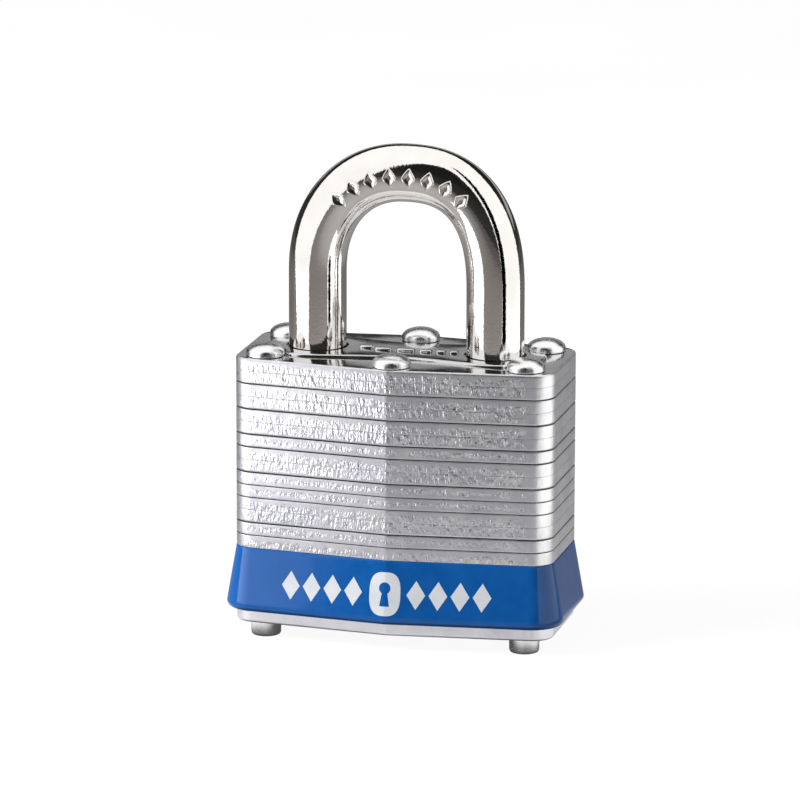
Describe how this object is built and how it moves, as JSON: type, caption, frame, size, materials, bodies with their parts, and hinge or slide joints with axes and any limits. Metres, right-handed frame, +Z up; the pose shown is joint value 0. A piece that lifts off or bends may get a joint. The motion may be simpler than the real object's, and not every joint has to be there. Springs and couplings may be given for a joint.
{
  "type": "padlock",
  "caption": "Laminated steel padlock with a chromed shackle, domed rivets, a flared blue bumper band and a pin tumbler cylinder opened from below.",
  "frame": {"origin": "centre of the body plan, level with the ends of the corner rivets that the lock stands on", "axes": "+Z up through the shackle, -Y out of the front ridge, +X towards the toe leg of the shackle"},
  "size_m": [0.0426, 0.0224, 0.0613],
  "materials": {
    "plate_steel": "stamped plates with sheared and fractured edges",
    "rivet_steel": "bright plated steel",
    "chrome": "polished chrome plate",
    "blue_plastic": "glossy moulded vinyl",
    "brass": "machined brass",
    "cast_metal": "die-cast grey metal",
    "lever_steel": "blanked steel",
    "spring_steel": "drawn spring wire"
  },
  "bodies": {
    "body": {"bottom_plate": "plate_steel", "lamination_02": "plate_steel", "lamination_03": "plate_steel", "lamination_04": "plate_steel", "lamination_05": "plate_steel", "lamination_06": "plate_steel", "lamination_07": "plate_steel", "lamination_08": "plate_steel", "lamination_09": "plate_steel", "lamination_10": "plate_steel", "lamination_11": "plate_steel", "lamination_12": "plate_steel", "lamination_13": "plate_steel", "lamination_14": "plate_steel", "lamination_15": "plate_steel", "lamination_16": "plate_steel", "lamination_17": "plate_steel", "lamination_18": "plate_steel", "lamination_19": "plate_steel", "lamination_20": "plate_steel", "top_plate": "plate_steel", "rivet_front_left": "rivet_steel", "rivet_front_centre": "rivet_steel", "rivet_front_right": "rivet_steel", "rivet_back_right": "rivet_steel", "rivet_back_centre": "rivet_steel", "rivet_back_left": "rivet_steel", "bumper_band": "blue_plastic", "cylinder_housing": "cast_metal", "pin_chamber_cover": "cast_metal", "shackle_spring": "spring_steel", "lever_spring": "spring_steel", "pin_spring_1": "spring_steel", "pin_spring_2": "spring_steel", "pin_spring_3": "spring_steel", "pin_spring_4": "spring_steel"},
    "shackle": {"shackle": "chrome"},
    "plug": {"plug": "brass", "cam": "brass"},
    "lever_left": {"lever_left": "lever_steel"},
    "lever_right": {"lever_right": "lever_steel"},
    "key_pin_1": {"key_pin_1": "brass"},
    "driver_pin_1": {"driver_pin_1": "lever_steel"},
    "key_pin_2": {"key_pin_2": "brass"},
    "driver_pin_2": {"driver_pin_2": "lever_steel"},
    "key_pin_3": {"key_pin_3": "brass"},
    "driver_pin_3": {"driver_pin_3": "lever_steel"},
    "key_pin_4": {"key_pin_4": "brass"},
    "driver_pin_4": {"driver_pin_4": "lever_steel"}
  },
  "joints": [
    {"name": "shackle_lift", "type": "slide", "parent": "body", "child": "shackle", "axis": [0, 0, 1], "range_m": [0, 0.0125], "deforming": ["shackle_spring"]},
    {"name": "plug_turn", "type": "hinge", "parent": "body", "child": "plug", "pos_m": [0, 0, 0.002], "axis": [0, 0, 1], "range_deg": [-90, 0], "deforming": ["lever_spring"]},
    {"name": "lever_left_slide", "type": "slide", "parent": "body", "child": "lever_left", "axis": [-1, 0, 0], "range_m": [0, 0.00161]},
    {"name": "lever_right_slide", "type": "slide", "parent": "body", "child": "lever_right", "axis": [1, 0, 0], "range_m": [0, 0.00161]},
    {"name": "key_pin_1_slide", "type": "slide", "parent": "plug", "child": "key_pin_1", "axis": [1, 0, 0], "range_m": [-0.0012, 0]},
    {"name": "driver_pin_1_slide", "type": "slide", "parent": "body", "child": "driver_pin_1", "axis": [1, 0, 0], "range_m": [0, 0.0013], "stiffness_N_per_m": 20, "springref_m": -0.002, "deforming": ["pin_spring_1"]},
    {"name": "key_pin_2_slide", "type": "slide", "parent": "plug", "child": "key_pin_2", "axis": [1, 0, 0], "range_m": [-0.0012, 0]},
    {"name": "driver_pin_2_slide", "type": "slide", "parent": "body", "child": "driver_pin_2", "axis": [1, 0, 0], "range_m": [0, 0.0013], "stiffness_N_per_m": 20, "springref_m": -0.002, "deforming": ["pin_spring_2"]},
    {"name": "key_pin_3_slide", "type": "slide", "parent": "plug", "child": "key_pin_3", "axis": [1, 0, 0], "range_m": [-0.0012, 0]},
    {"name": "driver_pin_3_slide", "type": "slide", "parent": "body", "child": "driver_pin_3", "axis": [1, 0, 0], "range_m": [0, 0.0013], "stiffness_N_per_m": 20, "springref_m": -0.002, "deforming": ["pin_spring_3"]},
    {"name": "key_pin_4_slide", "type": "slide", "parent": "plug", "child": "key_pin_4", "axis": [1, 0, 0], "range_m": [-0.0012, 0]},
    {"name": "driver_pin_4_slide", "type": "slide", "parent": "body", "child": "driver_pin_4", "axis": [1, 0, 0], "range_m": [0, 0.0013], "stiffness_N_per_m": 20, "springref_m": -0.002, "deforming": ["pin_spring_4"]}
  ],
  "couplings": [
    {"joint": "lever_left_slide", "follows": "plug_turn", "m_per_rad": -0.0010186},
    {"joint": "lever_right_slide", "follows": "plug_turn", "m_per_rad": -0.0010186}
  ]
}
